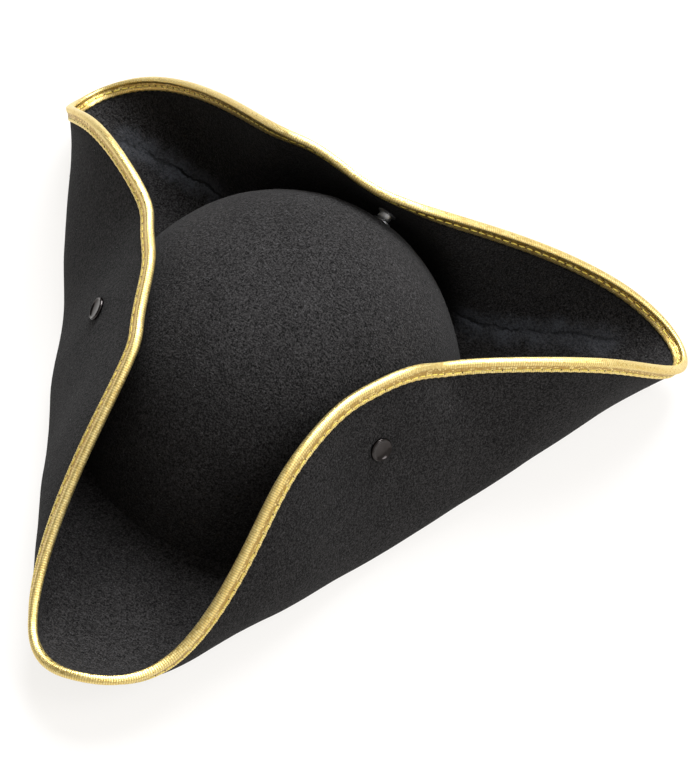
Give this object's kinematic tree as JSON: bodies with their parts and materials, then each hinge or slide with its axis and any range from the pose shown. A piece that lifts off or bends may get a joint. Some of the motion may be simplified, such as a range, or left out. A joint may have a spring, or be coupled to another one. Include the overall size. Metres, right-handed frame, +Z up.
{
  "type": "tricorn hat",
  "caption": "Stiff felt tricorn hat with a domed crown, an open head hollow, brim flaps snapped up against the crown and a metallic tape folded over the whole rim.",
  "frame": {"origin": "under the middle of the hat's bounding box, on the surface that the hat rests on", "axes": "+Z up through the crown, -Y towards the front corner, +X to the right as seen from the front"},
  "size_m": [0.3372, 0.336, 0.1073],
  "materials": {
    "felt": "black pressed felt, matt, with a fine fuzzy grain",
    "tape": "gold metallic woven tape, finely ribbed across, stitched along its inner edge",
    "cap": "black nickel plating, polished",
    "plated": "bright nickel plating"
  },
  "bodies": {
    "root": {"felt_body": "felt", "edge_binding": "tape", "right_cap": "cap", "back_cap": "cap", "left_cap": "cap", "right_socket": "plated", "back_socket": "plated", "left_socket": "plated", "right_stud": "plated", "back_stud": "plated", "left_stud": "plated"}
  },
  "joints": []
}
